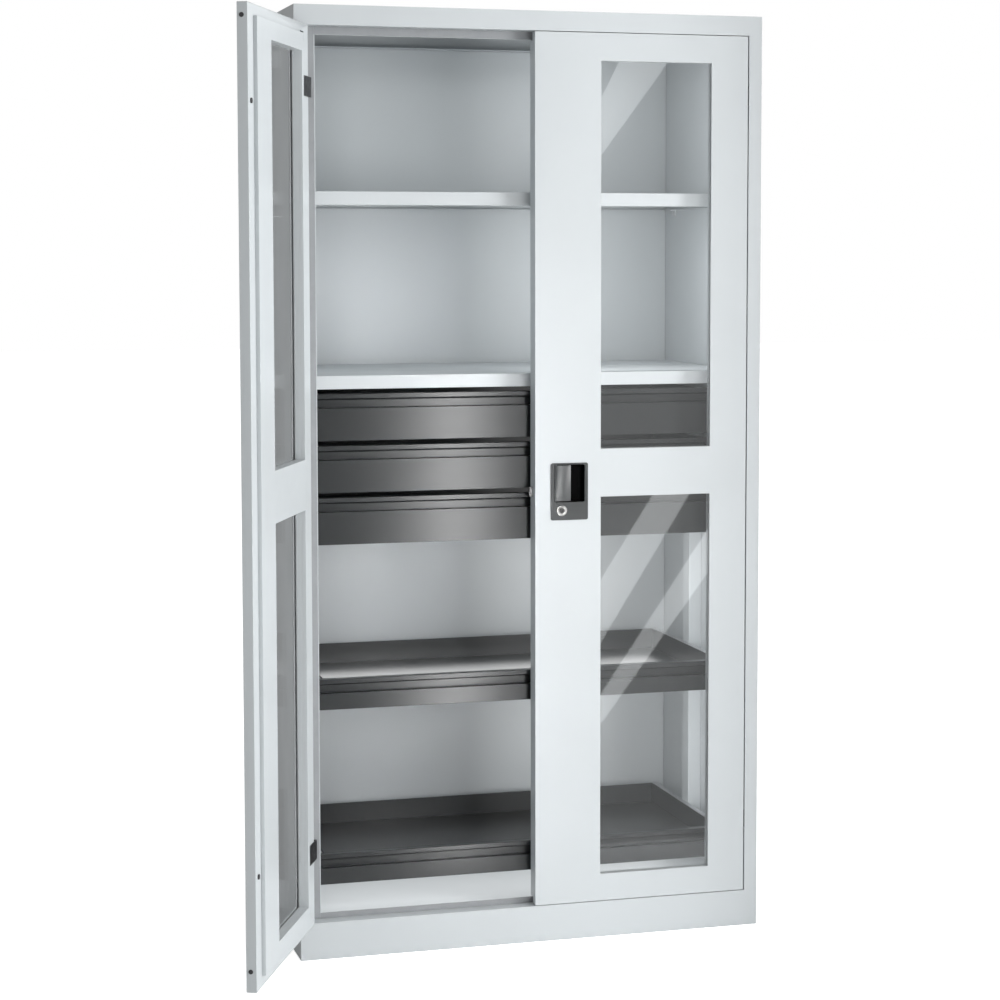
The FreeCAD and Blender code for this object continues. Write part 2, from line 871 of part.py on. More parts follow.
def mirror_any(outline, side):
    if isinstance(outline, Disc):
        return Disc("%d * (%s)" % (side, outline.x), outline.y, outline.radius)
    if side < 0 and any(len(p) > 2 for p in outline):
        raise ValueError("an outline with arcs is drawn for the right door only")
    return mirrored(outline, side)


def make_shell(name, side):
    """The outer skin with its folded edges and the two window cut-outs."""
    body = new_body(name + "_shell")
    skin = "Size.sheet"
    edge = rectangle(FREE_EDGE, HINGE_EDGE, DOOR_BOTTOM, DOOR_TOP)
    inside = rectangle(
        "%s + %s" % (FREE_EDGE, skin),
        "%s - %s" % (HINGE_EDGE, skin),
        "%s + %s" % (DOOR_BOTTOM, skin),
        "%s - %s" % (DOOR_TOP, skin),
    )
    add_level(body, "0", "Size.door_depth", [edge], side)
    cut_level(body, skin, "Size.door_depth", [inside], side)
    cut_level(body, "0", skin, windows(), side)
    return body


def make_inner(name, side):
    """The inner panel with the window reveals and the slots near the hinge edge."""
    body = new_body(name + "_inner")
    skin = "Size.sheet"
    plate = rectangle(
        "%s + %s" % (FREE_EDGE, skin),
        "%s - %s" % (HINGE_EDGE, skin),
        "%s + %s" % (DOOR_BOTTOM, skin),
        "%s - %s" % (DOOR_TOP, skin),
    )
    start = "Size.door_depth - " + skin
    add_level(body, start, "Size.door_depth", [plate], side)
    add_level(body, "Size.seal_back", start, windows(skin), side)
    cut_level(body, "Size.seal_back", "Size.door_depth", windows(), side)
    right = "%s - Size.flange_slot_edge" % HINGE_EDGE
    left = right + " - Size.flange_slot_width"
    high = "%s - Size.flange_slot_drop" % DOOR_TOP
    low = "%s + Size.flange_slot_rise" % DOOR_BOTTOM
    slots = [
        rectangle(left, right, high + " - Size.flange_slot_height", high),
        rectangle(left, right, low, low + " + Size.flange_slot_height"),
    ]
    cut_level(body, start, "Size.door_depth", slots, side)
    return body


def make_panes(name, side):
    body = new_body(name + "_panes")
    grow = "(Size.pane_overlap - Size.pane_play)"
    end = "Size.pane_start + Size.pane_thickness"
    add_level(body, "Size.pane_start", end, windows(grow), side)
    return body


def make_seals(name, side):
    """Rubber frames with a groove for the panes."""
    body = new_body(name + "_seals")
    add_level(body, "Size.sheet", "Size.seal_back", windows("Size.seal_overlap"), side)
    cut_level(body, "Size.sheet", "Size.seal_back", windows(), side)
    end = "Size.pane_start + Size.pane_thickness"
    cut_level(body, "Size.pane_start", end, windows("Size.pane_overlap"), side)
    return body


def make_arms(label, side):
    """Gooseneck arms: a barrel on the pin, a neck through the jamb and a plate on the door."""
    body = new_body(label)
    outer = "%s + Size.barrel_radius" % AXIS_X
    neck = outer + " - Size.arm_sheet"
    plate_end = "%s - Size.arm_reach" % HINGE_EDGE
    level = at_depth("Size.door_depth")
    section = [
        (neck, AXIS_Y),
        (outer, AXIS_Y),
        (outer, level + " + Size.arm_sheet"),
        (plate_end, level + " + Size.arm_sheet"),
        (plate_end, level),
        (neck, level),
    ]
    x = "%d * %s" % (side, AXIS_X)
    for centre in (UPPER_HINGE, LOWER_HINGE):
        low, high = centre + " - Size.hinge_height / 2", centre + " + Size.hinge_height / 2"
        add(body, "z", low, high, [mirrored(section, side)])
        add(body, "z", low, high, [Disc(x, AXIS_Y, "Size.barrel_radius")])
        bore = Disc(x, AXIS_Y, "Size.pin_radius + Size.pin_clearance")
        cut(body, "z", low, high, [bore])
    return body


def make_brackets():
    """Plates on the outer walls, inside the jambs, with two ears round each barrel."""
    body = new_body("hinge_brackets")
    wall = "%s - Size.sheet" % HALF
    plate = wall + " - Size.ear_sheet"
    ear_half = "Size.ear_depth / 2"
    ear = rectangle(
        "%s - %s" % (AXIS_X, ear_half),
        plate,
        "%s - %s" % (AXIS_Y, ear_half),
        "%s + %s" % (AXIS_Y, ear_half),
    )
    back = rectangle(
        plate, wall, "%s - %s" % (AXIS_Y, ear_half), "%s + Size.bracket_depth" % AXIS_Y
    )
    for side in (-1, 1):
        x = "%d * %s" % (side, AXIS_X)
        for centre in (UPPER_HINGE, LOWER_HINGE):
            gap = "Size.hinge_height / 2 + Size.ear_play"
            outside = gap + " + Size.ear_thickness"
            low, high = "%s - (%s)" % (centre, outside), "%s + %s" % (centre, outside)
            add(body, "z", low, high, [mirrored(back, side)])
            ends = (low, "%s - (%s)" % (centre, gap)), ("%s + %s" % (centre, gap), high)
            for start, end in ends:
                add(body, "z", start, end, [mirrored(ear, side)])
                bore = Disc(x, AXIS_Y, "Size.pin_radius + Size.pin_clearance")
                cut(body, "z", start, end, [bore])
    return body


def make_pins():
    body = new_body("hinge_pins")
    reach = "(Size.hinge_height / 2 + Size.ear_play + Size.ear_thickness)"
    for centre in (UPPER_HINGE, LOWER_HINGE):
        pins = [Disc("%d * %s" % (side, AXIS_X), AXIS_Y, "Size.pin_radius") for side in (-1, 1)]
        add(body, "z", "%s - %s" % (centre, reach), "%s + %s" % (centre, reach), pins)
    return body


def make_stiffener(name, side):
    """The raised pan round the windows of the left door."""
    body = new_body(name + "_stiffener")
    start = "%s + Size.stile_start" % FREE_EDGE
    end = "%s - Size.arm_reach - Size.stile_arm_gap" % HINGE_EDGE
    low = "%s + Size.stile_inset" % DOOR_BOTTOM
    high = "%s - Size.stile_inset" % DOOR_TOP
    skin, crest = "Size.sheet", "Size.door_depth + Size.stile_depth"
    inside = rectangle(
        "%s + %s" % (start, skin),
        "%s - %s" % (end, skin),
        "%s + %s" % (low, skin),
        "%s - %s" % (high, skin),
    )
    add_level(body, "Size.door_depth", crest, [rectangle(start, end, low, high)], side)
    cut_level(body, "Size.door_depth", "%s - %s" % (crest, skin), [inside], side)
    add_level(body, "Size.door_depth", crest, windows(skin), side)
    cut_level(body, "Size.door_depth", crest, windows(), side)
    return body


def make_buffers(name, side):
    """Rubber dots on the lip and plugs in the meeting edge."""
    body = new_body(name + "_buffers")
    x = "%s + Size.buffer_edge" % FREE_EDGE
    levels = "%s - Size.upper_buffer_drop" % DOOR_TOP, "%s + Size.lower_buffer_rise" % DOOR_BOTTOM
    dots = [Disc(x, z, "Size.buffer_radius") for z in levels]
    add_level(body, "Size.door_depth", "Size.door_depth + Size.buffer_height", dots, side)
    level = at_depth("Size.plug_level")
    plugs = [
        Disc(level, "%s - Size.upper_plug_drop" % DOOR_TOP, "Size.plug_radius"),
        Disc(level, "%s + Size.lower_plug_rise" % DOOR_BOTTOM, "Size.plug_radius"),
    ]
    add(body, "x", *span(side, "%s - Size.plug_height" % FREE_EDGE, FREE_EDGE), plugs)
    return body


# Lock on the right door
CUP_LEFT = "(Size.plate_start + Size.cup_side)"
CUP_RIGHT = "(%s + Size.cup_width)" % CUP_LEFT
CUP_TOP = "(Size.plate_bottom + Size.plate_height - Size.cup_top)"
CUP_LOW = "(%s - Size.cup_height)" % CUP_TOP
BOLT_TOP = "(Size.bolt_bottom + Size.bolt_height)"
CHANNEL_END = "(%s + Size.stile_end)" % FREE_EDGE
CHANNEL_LOW = "(%s + Size.bottom_stop + Size.channel_top_gap)" % SILL
CHANNEL_TOP = "(%s - Size.top_stop - Size.channel_top_gap)" % HEAD


def cup_outline(grow):
    return rounded(
        "%s - %s" % (CUP_LEFT, grow),
        "%s + %s" % (CUP_RIGHT, grow),
        "%s - %s" % (CUP_LOW, grow),
        "%s + %s" % (CUP_TOP, grow),
        "Size.plate_corner",
    )


def make_channel():
    """The deep channel behind the free edge, with the guides of the rods and of the bolt."""
    body = new_body("lock_channel")
    skin = "Size.sheet"
    level, crest = "Size.door_depth", "Size.door_depth + Size.channel_depth"
    web = "%s - %s" % (crest, skin)
    block(body, FREE_EDGE, CHANNEL_END, level, crest, CHANNEL_LOW, CHANNEL_TOP)
    left, right = "%s + %s" % (FREE_EDGE, skin), "%s - %s" % (CHANNEL_END, skin)
    hollow(body, left, right, level, web, CHANNEL_LOW, CHANNEL_TOP)
    play = "Size.bolt_play"
    hole = rectangle(
        at_depth(level),
        at_depth("%s + 2 * %s + Size.bolt_thickness" % (level, play)),
        "Size.bolt_bottom - " + play,
        "%s + %s" % (BOLT_TOP, play),
    )
    cut(body, "x", FREE_EDGE, left, [hole])
    floor = "Size.rod_level - Size.guide_wall"
    places = (
        (UPPER_ROD, CHANNEL_TOP + " - Size.guide_end"),
        (UPPER_ROD, LOCK_Z + " + Size.upper_guide_rise"),
        (LOWER_ROD, LOCK_Z + " - Size.lower_guide_drop"),
        (LOWER_ROD, CHANNEL_LOW + " + Size.guide_end"),
    )
    for rod, low in places:
        high = low + " + Size.guide_height"
        start = "%s - Size.rod_play - Size.guide_wall" % rod
        end = "%s + Size.rod_width + Size.rod_play + Size.guide_wall" % rod
        block(body, start, end, floor, web, low, high)
        cut(body, "z", low, high, [rod_passage(rod)])
    start = "%s + Size.bolt_guide" % FREE_EDGE
    end = "%s + 2 * Size.bolt_guide" % FREE_EDGE
    low = "Size.bolt_bottom - Size.guide_wall"
    high = "%s + Size.guide_wall" % BOLT_TOP
    block(body, start, end, level, web, low, high)
    cut(body, "x", start, end, [hole])
    return body


def open_door_for_lock(shell, inner):
    """The holes in the right door for the cup and the lock cylinder."""
    play = "(Size.cup_wall + Size.cut_play)"
    barrel = Disc(LOCK_X, LOCK_Z, "Size.cylinder_radius + Size.cut_play")
    cut_level(shell, "0", "Size.sheet", [cup_outline(play), barrel], 1)
    room = rectangle(
        "%s - Size.access_margin" % UPPER_ROD,
        "%s + Size.access_margin" % CUP_RIGHT,
        "%s - Size.pinion_radius - Size.access_margin" % LOCK_Z,
        "%s + Size.access_margin" % CUP_TOP,
    )
    cut_level(inner, "Size.door_depth - Size.sheet", "Size.door_depth", [room], 1)


def make_plate():
    """The lock plate with the recessed cup."""
    body = new_body("lock_plate")
    face = "-Size.plate_thickness"
    outline = rounded(
        "Size.plate_start",
        "Size.plate_start + Size.plate_width",
        "Size.plate_bottom",
        "Size.plate_bottom + Size.plate_height",
        "Size.plate_corner",
    )
    back = "Size.cup_depth + Size.cup_wall"
    add_level(body, face, "0", [outline], 1)
    add_level(body, "0", back, [cup_outline("Size.cup_wall")], 1)
    cut_level(body, face, "Size.cup_depth", [cup_outline("0")], 1)
    barrel = Disc(LOCK_X, LOCK_Z, "Size.cylinder_radius + Size.running_fit")
    cut_level(body, face, "0", [barrel], 1)
    bore = Disc(PIVOT_X, PIVOT_Y, "Size.trunnion_radius + Size.running_fit")
    low, high = "%s - Size.cup_wall" % CUP_LOW, "%s + Size.cup_wall" % CUP_TOP
    cut(body, "z", low, high, [bore])
    return body


PIVOT_X = "(%s + Size.pivot_inset)" % CUP_LEFT
PIVOT_Y = at_depth("Size.pivot_level")


def make_paddle():
    """The pull paddle: a bowed plate on a vertical pivot, with a finger lip."""
    body = new_body("lock_paddle")
    start = "%s - Size.paddle_heel" % PIVOT_X
    end = start + " + Size.paddle_width"
    face = at_depth("Size.paddle_level")
    back = face + " + Size.paddle_sheet"
    tip = at_depth("Size.paddle_lip")
    low, high = "%s + Size.paddle_play" % CUP_LOW, "%s - Size.paddle_play" % CUP_TOP
    plate = [
        (start, face, "Size.paddle_bulge"),
        (end, face),
        (end, tip),
        (end + " - Size.paddle_sheet", tip),
        (end + " - Size.paddle_sheet", back, "Size.paddle_bulge - Size.paddle_sheet", -1),
        (start + " + Size.paddle_sheet", back),
        (start, back),
    ]
    add(body, "z", low, high, [plate])
    add(body, "z", low, high, [Disc(PIVOT_X, PIVOT_Y, "Size.pivot_radius")])
    pin_low, pin_high = "%s - Size.cup_wall" % CUP_LOW, "%s + Size.cup_wall" % CUP_TOP
    add(body, "z", pin_low, pin_high, [Disc(PIVOT_X, PIVOT_Y, "Size.trunnion_radius")])
    return body


def make_cylinder():
    body = new_body("lock_cylinder")
    face = "-Size.plate_thickness"
    front = "%s - Size.cylinder_proud" % face
    add_level(body, front, face, [Disc(LOCK_X, LOCK_Z, "Size.cylinder_rim")], 1)
    stem = Disc(LOCK_X, LOCK_Z, "Size.cylinder_radius")
    add_level(body, face, "Size.cylinder_length", [stem], 1)
    bore = Disc(LOCK_X, LOCK_Z, "Size.key_radius + Size.running_fit")
    cut_level(body, front, "Size.cylinder_length", [bore], 1)
    return body


def make_key_plug():
    body = new_body("key_plug")
    front = "-Size.plate_thickness - Size.cylinder_proud - Size.key_proud"
    add_level(body, front, "Size.rod_level", [Disc(LOCK_X, LOCK_Z, "Size.key_radius")], 1)
    keyway = rectangle(
        "%s - Size.keyway_width / 2" % LOCK_X,
        "%s + Size.keyway_width / 2" % LOCK_X,
        "%s - Size.keyway_height / 2" % LOCK_Z,
        "%s + Size.keyway_height / 2" % LOCK_Z,
    )
    cut_level(body, front, front + " + Size.keyway_depth", [keyway], 1)
    return body


def make_pinion():
    body = new_body("lock_pinion")
    wheel = Disc(LOCK_X, LOCK_Z, "Size.pinion_radius")
    add_level(body, "Size.rod_level", "Size.rod_level + Size.rod_thickness", [wheel], 1)
    return body


def make_rods():
    """Flat bars beside the pinion that run to the lintel and to the sill."""
    near, far = "Size.rod_level", "Size.rod_level + Size.rod_thickness"
    body = new_body("upper_rod")
    foot_top = "%s - Size.rod_foot_drop" % LOCK_Z
    foot_low = foot_top + " - Size.rod_foot_height"
    rack = "%s - Size.pinion_radius - Size.mesh_gap" % LOCK_X
    high = "%s - Size.rod_end_gap" % HEAD
    end = "%s + Size.rod_width" % UPPER_ROD
    block(body, UPPER_ROD, end, near, far, foot_low, high)
    block(body, end, rack, near, far, foot_low, foot_top)
    body = new_body("lower_rod")
    end = "%s + Size.rod_width" % LOWER_ROD
    low = "%s + Size.rod_end_gap" % SILL
    block(body, LOWER_ROD, end, near, far, low, "%s + Size.rod_top" % LOCK_Z)


def make_bolt():
    """The bevelled latch bolt that reaches behind the left door."""
    body = new_body("latch_bolt")
    tip = "%s - Size.bolt_proud" % FREE_EDGE
    end = tip + " + Size.bolt_length"
    near = at_depth("Size.door_depth + Size.bolt_play")
    far = near + " + Size.bolt_thickness"
    section = [
        (tip, near),
        (end, near),
        (end, far),
        (tip + " + Size.bolt_bevel", far),
        (tip, far + " - Size.bolt_bevel"),
    ]
    add(body, "z", "Size.bolt_bottom", BOLT_TOP, [section])
    return body


def make_feet():
    names = "foot_front_left", "foot_front_right", "foot_rear_left", "foot_rear_right"
    for label, (x, y) in zip(names, foot_places()):
        body = new_body(label)
        rim = "Size.foot_gap + Size.foot_thickness"
        add(body, "z", "Size.foot_gap", rim, [Disc(x, y, "Size.foot_radius")])
        add(body, "z", rim, rim + " + Size.stud_length", [Disc(x, y, "Size.stud_radius")])


# The whole cabinet
make_base()
make_floor()
make_side("side_left", -1)
make_side("side_right", 1)
make_roof()
make_back()
make_liner("liner_left", -1)
make_liner("liner_right", 1)
make_shelf("shelf_upper", "Size.upper_shelf_level")
make_shelf("shelf_lower", "Size.lower_shelf_level")
make_clips()
make_posts()
make_outer_rails()
make_brackets()
make_pins()
for row in pull_outs():
    make_pull_out(row)
for door, side in (("left_door", -1), ("right_door", 1)):
    first = len(pieces)
    shell = make_shell(door, side)
    inner = make_inner(door, side)
    make_panes(door, side)
    make_seals(door, side)
    make_arms(door.replace("door", "hinge_arms"), side)
    if side < 0:
        make_stiffener(door, side)
        make_buffers(door, side)
        for piece in pieces[first:]:
            swing_open(piece)
    else:
        open_door_for_lock(shell, inner)
make_channel()
make_plate()
make_paddle()
make_cylinder()
make_key_plug()
make_pinion()
make_rods()
make_bolt()
make_feet()
doc.recompute()

# Checks and export
for item in doc.Objects:
    if "Invalid" in item.State or "Error" in item.State:
        raise ValueError("%s can't be built" % item.Label)
os.makedirs("parts", exist_ok=True)
for piece in pieces:
    if piece.Shape.isNull() or not piece.Shape.isValid() or not piece.Shape.Solids:
        raise ValueError("%s has no valid solid" % piece.Label)
    piece.Shape.exportStep("parts/%s.step" % piece.Label)
    print(piece.Label, len(piece.Shape.Solids), round(piece.Shape.Volume / 1000, 1))
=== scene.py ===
"""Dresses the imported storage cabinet: powder-coated steel, glass, rubber, zinc and the lock."""
import math

import bmesh
import bpy
from mathutils import Matrix, Vector


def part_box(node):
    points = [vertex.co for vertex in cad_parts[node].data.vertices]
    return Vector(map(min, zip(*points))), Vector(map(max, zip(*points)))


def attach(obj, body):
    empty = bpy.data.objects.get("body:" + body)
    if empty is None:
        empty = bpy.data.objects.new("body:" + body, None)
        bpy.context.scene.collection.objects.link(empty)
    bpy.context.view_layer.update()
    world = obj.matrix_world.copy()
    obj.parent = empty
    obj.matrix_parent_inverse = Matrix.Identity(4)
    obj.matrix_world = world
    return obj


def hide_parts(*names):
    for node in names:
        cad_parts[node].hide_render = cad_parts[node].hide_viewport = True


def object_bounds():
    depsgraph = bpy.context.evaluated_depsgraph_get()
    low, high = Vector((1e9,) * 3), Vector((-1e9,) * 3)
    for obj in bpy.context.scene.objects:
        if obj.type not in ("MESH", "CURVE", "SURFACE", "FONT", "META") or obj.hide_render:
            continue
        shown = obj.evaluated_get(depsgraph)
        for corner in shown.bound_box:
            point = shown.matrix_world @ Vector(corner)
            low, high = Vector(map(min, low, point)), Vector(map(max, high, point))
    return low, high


bl_info = {
    "name": "Storage Cabinet Finish",
    "version": (1, 0, 0),
    "blender": (4, 5, 0),
    "location": "View3D > Sidebar > Cabinet",
    "description": "Finishes a steel storage cabinet with glass doors on its packed frame",
    "category": "Object",
}

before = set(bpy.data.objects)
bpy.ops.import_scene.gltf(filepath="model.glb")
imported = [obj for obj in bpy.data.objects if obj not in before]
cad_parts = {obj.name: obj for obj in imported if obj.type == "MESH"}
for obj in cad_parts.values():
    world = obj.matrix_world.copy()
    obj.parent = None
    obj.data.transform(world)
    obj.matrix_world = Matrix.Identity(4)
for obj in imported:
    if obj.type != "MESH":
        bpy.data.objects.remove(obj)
CAD_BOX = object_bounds()
MM = 0.001
PULL_OUTS = ("upper_drawer", "middle_drawer", "lower_drawer", "upper_tray", "lower_tray")
# Carcass sheets that meet edge to edge get the small rounding of a cut, the others that of a fold
BUTTED_SHEETS = ("base_frame", "side_left", "side_right", "roof")
INNER_SHEETS = (
    "floor_panel",
    "back_panel",
    "liner_left",
    "liner_right",
    "shelf_upper",
    "shelf_lower",
    "runner_posts",
)

# Sharp edges and smooth curves are told apart at this angle
SHARP_ANGLE = math.radians(35)

# The door stops lie this far behind the front of the sides, and those on the sides are this wide
STOP_DEPTH = 34 * MM
STOP_WIDTH = 20 * MM
# Their strips keep a gap to what frames them and an inset from the stops' free edges
SIDE_STRIP_WIDTH = 18 * MM
STRIP_THICKNESS = 0.8 * MM
STRIP_GAP = 0.3 * MM
STRIP_INSET = 0.5 * MM
STRIP_EASING = 0.2 * MM

# The lock cylinder's rim, from its bore outwards: radius and depth behind its front
CYLINDER_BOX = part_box("lock_cylinder")
CYLINDER_RIM = (CYLINDER_BOX[1].x - CYLINDER_BOX[0].x) / 2
CYLINDER_BORE = 5.55 * MM
CYLINDER_STEM = 9.5 * MM
CYLINDER_FACE = (
    (CYLINDER_BORE, 0.5 * MM),
    (CYLINDER_BORE + 0.5 * MM, 0.1 * MM),
    (7.4 * MM, 0),
    (7.8 * MM, 0.25 * MM),
    (8.2 * MM, 0.25 * MM),
    (8.6 * MM, 0),
    (CYLINDER_RIM - 1.0 * MM, 0),
    (CYLINDER_RIM - 0.3 * MM, 0.25 * MM),
    (CYLINDER_RIM, 0.9 * MM),
    (CYLINDER_RIM, 1.5 * MM),
    (CYLINDER_STEM, 1.5 * MM),
)
CYLINDER_STEPS = 64
# Painted shade: the colour deep inside the lock cup, where no light reaches
CUP_PAINTED_SHADE = (0.003, 0.003, 0.003)

# Main lights: name, place, target, size and share of the key power
MAIN_LIGHTS = (
    ("Key", (0.7, -3.2, 0.85), (0.1, -0.3, 0.95), (1.0, 1.3), 1.0),
    ("Fill", (3.2, -3.0, 1.8), (-0.2, -0.1, 0.9), (1.6, 1.8), 6.6),
)
# Weak lights for what bounces about inside: place, direction, size and share of the power
BACKWARDS = Vector((0, 1, 0))
DOWNWARDS = Vector((0, 0, -1))
BOUNCES = (
    ((0.23, -0.24, 1.0), BACKWARDS, (0.40, 1.8), 0.9),
    ((0.28, -0.19, 1.4), BACKWARDS, (0.30, 0.95), 2.0),
    ((0.28, -0.19, 0.5), BACKWARDS, (0.30, 0.85), 2.2),
    ((-0.02, 0.0, 1.87), DOWNWARDS, (0.86, 0.38), 0.4),
    ((-0.02, -0.12, 1.53), DOWNWARDS, (0.86, 0.14), 0.55),
    ((-0.02, 0.0, 0.86), DOWNWARDS, (0.86, 0.38), 0.4),
    ((-0.02, 0.0, 0.55), DOWNWARDS, (0.86, 0.38), 2.2),
    ((-0.02, -0.05, 0.135), DOWNWARDS, (0.86, 0.38), 1.1),
)
# Upright cards in front of the cabinet: x from and to, y, z from and to.
# The strip and the flag are only mirrored, the shade only casts its shadow.
STRIP_CARD = (0.0, 0.06, -1.0, 0.0, 1.4)
FLAG_CARD = (-0.35, 1.0, -1.05, -0.2, 2.4)
SHADE_CARD = (0.86, 1.6, -0.7, 0.0, 2.1)
# Bands of light mirrored in the panes: corners on the front of the right door, as (x, z)
STREAKS = (
    ((0.185, 1.85), (0.292, 1.85), (0.146, 1.655), (0.146, 1.775)),
    ((0.262, 0.943), (0.345, 0.943), (0.146, 0.630), (0.146, 0.765)),
    ((0.389, 0.870), (0.389, 0.775), (0.146, 0.455), (0.146, 0.520)),
)
STREAK_PLANE = -1.0
# The sky's brightness at the far left and the far right, and the floor's own glow to the camera
SKY_SIDES = (0.3, 1.0)
FLOOR_GLOW = 0.75
FLOOR_HALF = 30.0
FLOOR_GAP = 0.5 * MM

# The camera: place in metres, turns in degrees, focal length in pixels of a 1000 pixel picture
CAMERA_PLACE = Vector((-1.382, -5.140, 1.462))
CAMERA_YAW = 16.27
CAMERA_PITCH = -4.5
CAMERA_FOCUS = 2430.0
CAMERA_SHIFT = (-0.05, -0.06)
SENSOR_WIDTH = 36.0
PICTURE_WIDTH = 1000


# Sizes and colours that a user would change
class CabinetPaint(bpy.types.PropertyGroup):
    """Colours and gloss of the coated sheet."""

    body: bpy.props.FloatVectorProperty(
        name="Body colour",
        description="Powder coat of the carcass and the doors",
        subtype="COLOR",
        size=3,
        default=(0.485, 0.515, 0.530),
    )
    pull_outs: bpy.props.FloatVectorProperty(
        name="Drawer colour",
        description="Powder coat of the drawers and trays",
        subtype="COLOR",
        size=3,
        default=(0.013, 0.015, 0.016),
    )
    gloss: bpy.props.FloatProperty(
        name="Roughness",
        description="Roughness of the body's powder coat",
        subtype="FACTOR",
        default=0.36,
    )
    grain: bpy.props.FloatProperty(
        name="Grain",
        description="Width of the fine dimples in the powder coat",
        subtype="DISTANCE",
        default=1.6 * MM,
    )


class CabinetEdges(bpy.types.PropertyGroup):
    """Rounding of folded and cut edges."""

    fold: bpy.props.FloatProperty(
        name="Fold",
        description="Rounding where sheet is folded",
        subtype="DISTANCE",
        default=0.9 * MM,
    )
    cut: bpy.props.FloatProperty(
        name="Cut",
        description="Rounding of thin cut edges",
        subtype="DISTANCE",
        default=0.3 * MM,
    )


class CabinetStage(bpy.types.PropertyGroup):
    """Floor, sky and lights."""

    floor: bpy.props.FloatVectorProperty(
        name="Floor colour",
        description="Colour of the floor",
        subtype="COLOR",
        size=3,
        default=(0.90, 0.90, 0.90),
    )
    sky: bpy.props.FloatProperty(
        name="Sky", description="Brightness all round", default=1.0
    )
    key: bpy.props.FloatProperty(
        name="Key light", description="Power of the main light", subtype="POWER", default=24.0
    )
    inside: bpy.props.FloatProperty(
        name="Inside light",
        description="Power of the weak light that stands for light bounced into the cabinet",
        subtype="POWER",
        default=1.0,
    )
    strip: bpy.props.FloatProperty(
        name="Strip",
        description="Brightness of the tall narrow card that the paint mirrors",
        default=40.0,
    )
    streak: bpy.props.FloatProperty(
        name="Streaks",
        description="Brightness of the cards mirrored in the glass",
        default=2.2,
    )
    haze: bpy.props.FloatProperty(
        name="Haze",
        description="Brightness of the plain card mirrored behind the streaks",
        default=0.6,
    )


# Node helpers
def new_material(name, colour):
    """A material with a principled shader of one colour; returns it with its nodes and shader."""
    material = bpy.data.materials.new(name)
    material.use_nodes = True
    tree = material.node_tree
    shader = tree.nodes["Principled BSDF"]
    shader.inputs["Base Color"].default_value = (*colour, 1)
    material.diffuse_color = (*colour, 1)
    return material, tree, shader


def noise(tree, size, detail=2.0):
    """Noise over the object's own coordinates; size is that of one feature in metres."""
    place = tree.nodes.new("ShaderNodeTexCoord")
    texture = tree.nodes.new("ShaderNodeTexNoise")
    texture.inputs["Scale"].default_value = 1 / size
    texture.inputs["Detail"].default_value = detail
    tree.links.new(place.outputs["Object"], texture.inputs["Vector"])
    return texture.outputs["Fac"]


def remap(tree, value, low, high):
    """Spreads the middle of a noise value over low to high."""
    node = tree.nodes.new("ShaderNodeMapRange")
    for key, number in (("From Min", 0.3), ("From Max", 0.7), ("To Min", low), ("To Max", high)):
        node.inputs[key].default_value = number
    tree.links.new(value, node.inputs["Value"])
    return node.outputs["Result"]


def vary_colour(tree, shader, colour, size, amount):
    """Slight light and dark clouds in the colour."""
    ramp = tree.nodes.new("ShaderNodeMix")
    ramp.data_type = "RGBA"
    ramp.inputs["A"].default_value = (*[c * (1 - amount) for c in colour], 1)
    ramp.inputs["B"].default_value = (*[min(c * (1 + amount), 1) for c in colour], 1)
    tree.links.new(remap(tree, noise(tree, size), low=0, high=1), ramp.inputs["Factor"])
    tree.links.new(ramp.outputs["Result"], shader.inputs["Base Color"])
    return ramp.outputs["Result"]


def roughen(tree, shader, low, high, size):
    """Roughness that wanders between two values."""
    tree.links.new(remap(tree, noise(tree, size), low, high), shader.inputs["Roughness"])


def dimple(tree, shader, size, depth, strength):
    """Fine relief by a bump."""
    bump = tree.nodes.new("ShaderNodeBump")
    bump.inputs["Distance"].default_value = depth
    bump.inputs["Strength"].default_value = strength
    tree.links.new(noise(tree, size, detail=1.0), bump.inputs["Height"])
    tree.links.new(bump.outputs["Normal"], shader.inputs["Normal"])


def paint_corner_shade(tree, shader, colour, reach, amount):
    """Painted shade: darkens the colour a little where sheets meet, by ambient occlusion."""
    corner = tree.nodes.new("ShaderNodeAmbientOcclusion")
    corner.inputs["Distance"].default_value = reach
    corner.samples = 4
    mix = tree.nodes.new("ShaderNodeMix")
    mix.data_type = "RGBA"
    mix.blend_type = "MULTIPLY"
    mix.inputs["B"].default_value = (*[1 - amount] * 3, 1)
    turn = tree.nodes.new("ShaderNodeMath")
    turn.operation = "SUBTRACT"
    turn.inputs[0].default_value = 1
    tree.links.new(corner.outputs["AO"], turn.inputs[1])
    tree.links.new(turn.outputs["Value"], mix.inputs["Factor"])
    tree.links.new(colour, mix.inputs["A"])
    tree.links.new(mix.outputs["Result"], shader.inputs["Base Color"])


# Finishes
def powder_coat(name, colour, rough, grain, corner_shade_and_roughen=True):
    """Satin powder coat with orange peel and faint clouds; on request also painted shade where
    sheets meet and a roughness that wanders.
    """
    material, tree, shader = new_material(name, colour)
    clouds = vary_colour(tree, shader, colour, size=0.25, amount=0.015)
    if corner_shade_and_roughen:
        # Painted shade darkens the coat where sheets meet
        paint_corner_shade(tree, shader, clouds, reach=0.02, amount=0.10)
        roughen(tree, shader, low=rough - 0.03, high=rough + 0.04, size=0.08)
    else:
        shader.inputs["Roughness"].default_value = rough
    dimple(tree, shader, size=grain, depth=0.12 * MM, strength=0.10)
    return material


def zinc(name):
    """Bright zinc plate with a cloudy sheen."""
    colour = (0.60, 0.61, 0.62)
    material, tree, shader = new_material(name, colour)
    shader.inputs["Metallic"].default_value = 1.0
    vary_colour(tree, shader, colour, size=0.02, amount=0.08)
    roughen(tree, shader, low=0.28, high=0.45, size=0.01)
    return material


def glass(name):
    """Clear float glass: mostly see-through, the rest a clean mirror of the room."""
    material, _, shader = new_material(name, (0.90, 0.93, 0.94))
    shader.inputs["Metallic"].default_value = 1.0
    shader.inputs["Alpha"].default_value = 0.06
    shader.inputs["Roughness"].default_value = 0.0
    return material


